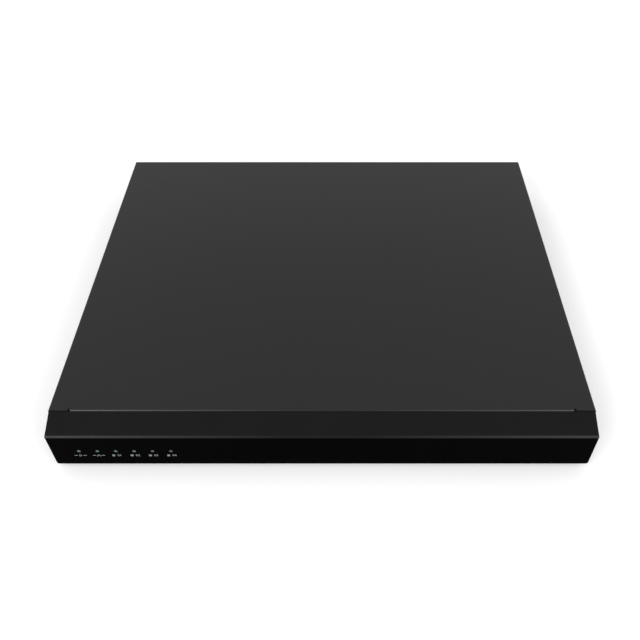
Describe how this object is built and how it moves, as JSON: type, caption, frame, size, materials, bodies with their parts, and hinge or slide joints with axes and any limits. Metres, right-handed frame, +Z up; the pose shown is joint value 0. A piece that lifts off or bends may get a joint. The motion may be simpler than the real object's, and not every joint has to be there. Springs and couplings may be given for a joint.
{
  "type": "dvr recorder",
  "caption": "Low steel-cased video recorder with a sloped front bezel, drive bays, main board, fans, rear sockets and a lift-off cover.",
  "frame": {"origin": "centre of the outline in plan, on the surface that the feet stand on", "axes": "+Z up, front facing -Y, +X to the right seen from the front"},
  "size_m": [0.4436, 0.3858, 0.0505],
  "materials": {
    "cover_paint": "fine textured dark grey powder coat",
    "case_steel": "fine textured dark grey powder coat",
    "bezel_plastic": "fine spark-eroded grain",
    "gloss_panel": "polished",
    "clear_guide": "translucent, smooth",
    "lamp_green": "lit",
    "lamp_off": "unlit, translucent",
    "print_grey": "printed ink",
    "board_green": "solder mask over glass fibre",
    "solder": "tinned pads and joints",
    "ribbon_grey": "soft flat cable",
    "foot_rubber": "matt",
    "screw_black": "black oxide",
    "screw_steel": "zinc plated",
    "drive_cast": "die cast, dull",
    "drive_lid": "bright rolled sheet",
    "label_white": "blank label",
    "chip_black": "moulded epoxy",
    "black_plastic": "moulded",
    "white_plastic": "moulded nylon",
    "cable_red": "soft PVC",
    "wire_yellow": "PVC",
    "wire_black": "PVC",
    "wire_red": "PVC",
    "brass": "turned",
    "heatsink_metal": "black anodised",
    "nickel": "nickel plated",
    "gold": "gold plated",
    "can_metal": "can top with a black band",
    "audio_white": "moulded",
    "connector_blue": "moulded",
    "terminal_green": "moulded",
    "rocker_black": "moulded",
    "fan_black": "moulded"
  },
  "bodies": {
    "case": {"chassis_base": "case_steel", "front_plate": "case_steel", "rear_panel": "case_steel", "rubber_feet": "foot_rubber", "case_screws": "screw_black", "front_bezel": "bezel_plastic", "front_panel": "gloss_panel", "light_guides": "clear_guide", "lamps_lit": "lamp_green", "lamps_unlit": "lamp_off", "light_board": "board_green", "light_ribbon": "ribbon_grey", "drive_castings": "drive_cast", "drive_lids": "drive_lid", "drive_boards": "board_green", "drive_sockets": "black_plastic", "drive_screws": "screw_steel", "drive_grommets": "foot_rubber", "drive_plugs": "black_plastic", "sata_cables": "cable_red", "main_board": "board_green", "board_standoffs": "brass", "board_screws": "screw_steel", "board_sockets": "black_plastic", "board_headers": "white_plastic", "processor": "chip_black", "heatsink": "heatsink_metal", "heatsink_pins": "white_plastic", "board_chips": "chip_black", "capacitors": "can_metal", "inductors": "chip_black", "cell_holder": "black_plastic", "coin_cell": "nickel", "yellow_wires": "wire_yellow", "black_wires": "wire_black", "red_wires": "wire_red", "jack_blocks": "black_plastic", "jack_shells": "nickel", "jack_insulators": "audio_white", "socket_contacts": "gold", "audio_rings": "audio_white", "vga_shell": "nickel", "vga_insert": "connector_blue", "rear_hardware": "screw_steel", "usb_shell": "nickel", "hdmi_shell": "nickel", "esata_shell": "nickel", "lan_shell": "nickel", "socket_tongues": "black_plastic", "power_jack": "black_plastic", "terminal_header": "terminal_green", "switch_frame": "black_plastic", "fan_frames": "fan_black", "fan_screws": "screw_black"},
    "cover": {"top_cover": "cover_paint"},
    "left_fan": {"left_fan_rotor": "fan_black"},
    "right_fan": {"right_fan_rotor": "fan_black"},
    "power_rocker": {"switch_rocker": "rocker_black"},
    "plug": {"terminal_plug": "terminal_green", "terminal_screws": "screw_steel"}
  },
  "joints": [
    {"name": "cover_lift", "type": "slide", "parent": "case", "child": "cover", "axis": [0, 0, 1], "range_m": [0, 0.12]},
    {"name": "left_fan_spin", "type": "hinge", "parent": "case", "child": "left_fan", "pos_m": [-0.1496, 0.17265, 0.02825], "axis": [0, 1, 0], "continuous": true},
    {"name": "right_fan_spin", "type": "hinge", "parent": "case", "child": "right_fan", "pos_m": [-0.1946, 0.17265, 0.02825], "axis": [0, 1, 0], "continuous": true},
    {"name": "rocker_tip", "type": "hinge", "parent": "case", "child": "power_rocker", "pos_m": [-0.1009, 0.18085, 0.02825], "axis": [1, 0, 0], "range_deg": [0, 22]},
    {"name": "plug_pull", "type": "slide", "parent": "case", "child": "plug", "axis": [0, 1, 0], "range_m": [0, 0.012]}
  ]
}
